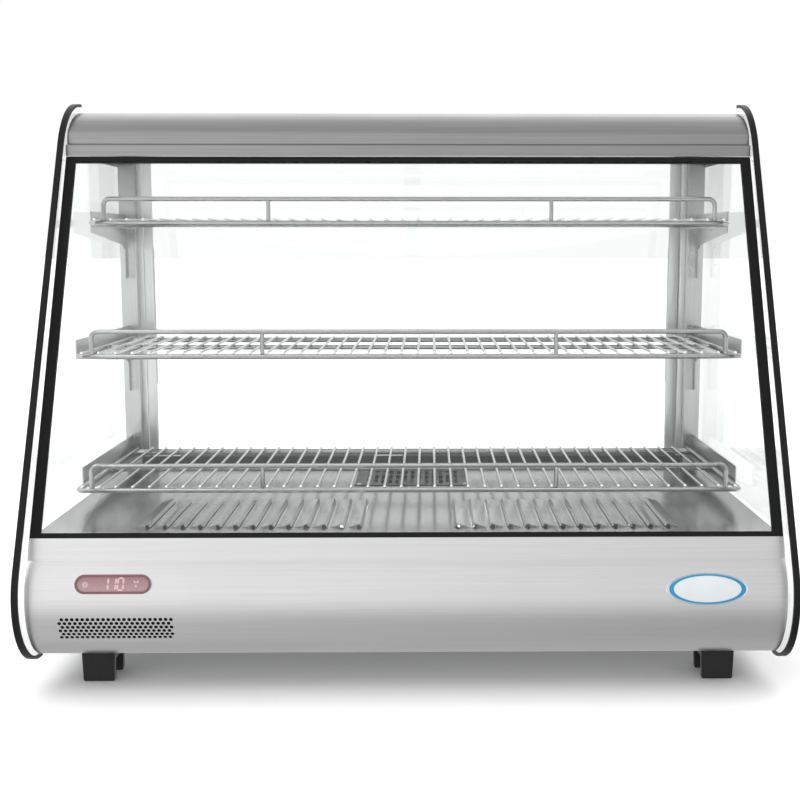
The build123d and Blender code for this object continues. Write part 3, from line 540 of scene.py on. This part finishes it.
# A near-black sheet just under the vent holes, painting the shade of the base's inside behind them.
def vent_shade_sheet():
    low, high = SHADE_SHEET_ARC
    near, far = SHADE_SHEET_DEPTH
    forward = range(SHADE_SHEET_STEPS + 1)
    shape = bmesh.new()
    loops = []
    for x in SHADE_SHEET_X:
        ring = []
        for radius, order in ((FRONT_R - near, forward), (FRONT_R - far, reversed(forward))):
            for step in order:
                angle = low + (high - low) * step / SHADE_SHEET_STEPS
                ring.append(shape.verts.new(on_front(x, angle * FRONT_R, radius)))
        loops.append(ring)
    first, second = loops
    shape.faces.new(first)
    shape.faces.new(list(reversed(second)))
    for i in range(len(first)):
        j = (i + 1) % len(first)
        shape.faces.new((first[i], second[i], second[j], first[j]))
    piece("vent_shade_sheet", closed_mesh("vent_shade_sheet", shape), VENT_SHADE, "case")


# ------------------------------------------------------------------ wires' ends, in a pale chrome that paints their highlights
WIRE_PITCH = 20.6 * MM
WIRE_ENDS = 40
WIRE_FROM_FRONT, WIRE_FROM_TOP = 1.65 * MM, 1.75 * MM    # a wire's end in the grid's box
END_PROFILE = ((0.0, 1.1), (0.9, 1.0), (1.6, 0.6), (1.95, 0.0), (1.95, -0.9))    # radius and reach in mm
END_TURN = 16


def wire_ends(name):
    """The rounded ends of a shelf's wires, over its front rod, in a pale chrome that paints their highlights.
    """
    low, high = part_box("shelf_" + name + "_grid")
    y, z = low.y + WIRE_FROM_FRONT, high.z - WIRE_FROM_TOP
    shape = bmesh.new()
    for index in range(WIRE_ENDS):
        x = (index - (WIRE_ENDS - 1) / 2) * WIRE_PITCH
        loops = []
        for step in range(END_TURN):
            angle = 2 * math.pi * step / END_TURN
            loops.append([
                shape.verts.new((x + r * MM * math.cos(angle), y - out * MM, z + r * MM * math.sin(angle)))
                for r, out in END_PROFILE
            ])
        spin(shape, loops)
        shape.faces.new([loop[-1] for loop in loops])
    title = "wire_ends_" + name
    made = piece(title, closed_mesh(title, shape), WIRE_END_HIGHLIGHT, "shelf_" + name)
    smooth(made.data)


# ------------------------------------------------------------------ screws
# Radius and height in mm; the first three points are the hexagon socket
SCREW_PROFILE = (
    (0, 0.9), (0.75, 0.9), (0.95, 1.95), (1.5, 2.0), (2.4, 1.75),
    (3.1, 1.2), (3.4, 0.5), (3.4, -0.15), (0, -0.15)
)
SOCKET_POINTS = 3
SCREW_TURN = 24


def screws(name, places, outward, material, scale=1.0):
    """Button-head screws at places, all facing outward, as one piece."""
    shape = bmesh.new()
    turn = Vector(outward).to_track_quat("Z", "Y").to_matrix().to_4x4()
    for place in places:
        move = Matrix.Translation(place) @ turn
        loops = []
        for step in range(SCREW_TURN):
            angle = 2 * math.pi * step / SCREW_TURN
            hexagon = 1 / math.cos((angle + math.pi / 6) % (math.pi / 3) - math.pi / 6)
            ring = []
            for index, (radius, height) in enumerate(SCREW_PROFILE):
                reach = radius * (hexagon if index < SOCKET_POINTS else 1) * scale * MM
                point = Vector((reach * math.cos(angle), reach * math.sin(angle), height * scale * MM))
                ring.append(shape.verts.new(move @ point))
            loops.append(ring)
        spin(shape, loops)
    made = piece(name, closed_mesh(name, shape), material, "case")
    smooth(made.data, 40)


REAR_SCREW_X, REAR_SCREW_Z = (-0.405, -0.2, 0.0, 0.2, 0.405), (0.048, 0.168)
CAP_SCREW_X, CAP_SCREW_Z = (-0.4, -0.2, 0.0, 0.2, 0.4), 0.661
GRILLE_EDGE = 0.006
PAN_SCREW_X, PAN_SCREW_Y = (-0.2, 0.0, 0.2), (-0.13, 0.25)


def all_screws():
    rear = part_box("base_rear_panel")[1].y
    cap_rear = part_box("top_cap")[1].y
    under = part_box("base_pan")[0].z
    low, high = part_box("fan_grille")
    columns, rows = [(low[axis] + GRILLE_EDGE, high[axis] - GRILLE_EDGE) for axis in (0, 1)]
    corners = [(x, y, high.z) for x in columns for y in rows]
    rear_spots = [(x, rear, z) for x in REAR_SCREW_X for z in REAR_SCREW_Z]
    pan_spots = [(x, y, under) for x in PAN_SCREW_X for y in PAN_SCREW_Y]
    screws("rear_screws", rear_spots, (0, 1, 0), SCREW)
    screws("cap_screws", [(x, cap_rear, CAP_SCREW_Z) for x in CAP_SCREW_X], (0, 1, 0), SCREW)
    screws("grille_screws", corners, (0, 0, 1), SCREW, 0.8)
    screws("pan_screws", pan_spots, (0, 0, -1), SCREW)


# ------------------------------------------------------------------ blank rating plate
PLATE_X, PLATE_Z = (0.16, 0.26), (0.075, 0.135)
PLATE_Y = (-0.1 * MM, 0.7 * MM)    # from the rear panel's face
PLATE_CUT = 7.2 * MM
RIVET_INSET = 6 * MM


def slab(shape, across, depth, up, cut):
    """A box with its four corners cut off, as seen along Y."""
    (left, right), (bottom, top) = across, up
    outline = [
        (left + cut, bottom), (right - cut, bottom), (right, bottom + cut), (right, top - cut),
        (right - cut, top), (left + cut, top), (left, top - cut), (left, bottom + cut),
    ]
    near = [shape.verts.new((x, depth[0], z)) for x, z in outline]
    far = [shape.verts.new((x, depth[1], z)) for x, z in outline]
    shape.faces.new(near)
    shape.faces.new(list(reversed(far)))
    for i in range(8):
        j = (i + 1) % 8
        shape.faces.new((near[i], near[j], far[j], far[i]))


def rating_plate():
    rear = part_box("base_rear_panel")[1].y
    depth = [rear + y for y in PLATE_Y]
    shape = bmesh.new()
    slab(shape, PLATE_X, depth, PLATE_Z, PLATE_CUT)
    piece("rating_plate", closed_mesh("rating_plate", shape), STILE, "case")
    columns = (PLATE_X[0] + RIVET_INSET, PLATE_X[1] - RIVET_INSET)
    rows = (PLATE_Z[0] + RIVET_INSET, PLATE_Z[1] - RIVET_INSET)
    screws("plate_rivets", [(x, depth[1], z) for x in columns for z in rows], (0, 1, 0), SCREW, 0.6)


finish_cad_nodes()
display_signs()
badge()
vent_shade_sheet()
for shelf in ("lower", "middle", "top"):
    wire_ends(shelf)
all_screws()
rating_plate()


# ------------------------------------------------------------------ stage, lights, camera
FLOOR_REACH = 40.0    # from the origin to each edge of the floor
# Brightness of the studio by direction
FRONT_SKY = (1.38, 0.66)    # left and right
REAR_SKY = 1.01
REAR_BAND = 1.6    # the rear sky over 20 degrees up, mirrored in the cap's brow
OVERHEAD = 0.75
GROUND = 0.54


def stage():
    mesh = bpy.data.meshes.new("floor")
    shape = bmesh.new()
    corners = [
        shape.verts.new((x * FLOOR_REACH, y * FLOOR_REACH, 0))
        for x, y in ((-1, -1), (1, -1), (1, 1), (-1, 1))
    ]
    shape.faces.new(corners)
    shape.to_mesh(mesh)
    shape.free()
    floor = bpy.data.objects.new("floor", mesh)
    SCENE.collection.objects.link(floor)
    floor.data.materials.append(
        moulded("floor_paint", (0.84, 0.84, 0.84), (0.86, 0.86, 0.86), (0.7, 0.8), 40, 0.02, 0.0, 0.1)
    )
    floor.visible_glossy = False


def world():
    """White studio: bright behind, dim overhead, falling off to the right and to the ground in front."""
    SCENE.world = bpy.data.worlds.new("studio")
    SCENE.world.use_nodes = True
    tree = SCENE.world.node_tree
    tree.nodes.clear()

    def ranged(value, start, end, low, high):
        node = tree.nodes.new("ShaderNodeMapRange")
        node.interpolation_type = "SMOOTHSTEP"
        for name, number in (("From Min", start), ("From Max", end), ("To Min", low), ("To Max", high)):
            node.inputs[name].default_value = number
        tree.links.new(value, node.inputs["Value"])
        return node.outputs["Result"]

    def product(first, second):
        node = tree.nodes.new("ShaderNodeMath")
        node.operation = "MULTIPLY"
        tree.links.new(first, node.inputs[0])
        tree.links.new(second, node.inputs[1])
        return node.outputs["Value"]

    direction = tree.nodes.new("ShaderNodeSeparateXYZ")
    tree.links.new(tree.nodes.new("ShaderNodeTexCoord").outputs["Generated"], direction.inputs["Vector"])
    across, depth, height = (direction.outputs[axis] for axis in "XYZ")
    ground = ranged(height, -0.7, -0.05, GROUND, 1.0)
    front = product(ranged(across, -0.8, 0.8, *FRONT_SKY), ground)
    front = product(front, ranged(height, 0.75, 1.0, 1.0, OVERHEAD))
    rear = product(ranged(height, 0.2, 0.35, REAR_SKY, REAR_BAND), ground)
    rear = product(rear, ranged(height, 0.6, 0.95, 1.0, OVERHEAD / REAR_BAND))
    blend = tree.nodes.new("ShaderNodeMix")
    blend.data_type = "FLOAT"
    tree.links.new(ranged(depth, -0.15, 0.25, 0.0, 1.0), blend.inputs[0])
    tree.links.new(front, blend.inputs[2])
    tree.links.new(rear, blend.inputs[3])
    background = tree.nodes.new("ShaderNodeBackground")
    background.inputs["Color"].default_value = (1, 1, 1, 1)
    tree.links.new(blend.outputs[0], background.inputs["Strength"])
    output = tree.nodes.new("ShaderNodeOutputWorld")
    tree.links.new(background.outputs["Background"], output.inputs["Surface"])


def area_light(name, place, target, size, power):
    data = bpy.data.lights.new(name, "AREA")
    data.shape = "RECTANGLE"
    data.size, data.size_y = size
    data.energy = power
    lamp = bpy.data.objects.new(name, data)
    SCENE.collection.objects.link(lamp)
    lamp.location = place
    lamp.rotation_euler = (Vector(target) - Vector(place)).to_track_quat("-Z", "Y").to_euler()
    lamp.visible_glossy = False


def soft_sun(strength, spread_angle):
    """Even light from straight above that keeps the floor white as far as it is seen."""
    data = bpy.data.lights.new("overhead", "SUN")
    data.energy = strength
    data.angle = math.radians(spread_angle)
    lamp = bpy.data.objects.new("overhead", data)
    SCENE.collection.objects.link(lamp)
    lamp.location = (0, 0, 3)
    lamp.visible_glossy = False


def camera():
    data = bpy.data.cameras.new("camera")
    data.lens = 56.96
    data.sensor_width = 36.0
    data.shift_x = -0.0574
    data.shift_y = 0.0111
    view = bpy.data.objects.new("camera", data)
    SCENE.collection.objects.link(view)
    view.location = (0.0256, -1.6244, 0.5082)
    view.rotation_euler = (math.pi / 2 - 0.1304, 0, -0.0124)
    SCENE.camera = view


stage()
world()
area_light("key", (-1.6, -1.8, 2.2), (0, 0, 0.3), (1.6, 1.2), 10)
soft_sun(1.9, 80)
camera()
SCENE.view_settings.view_transform = "Standard"
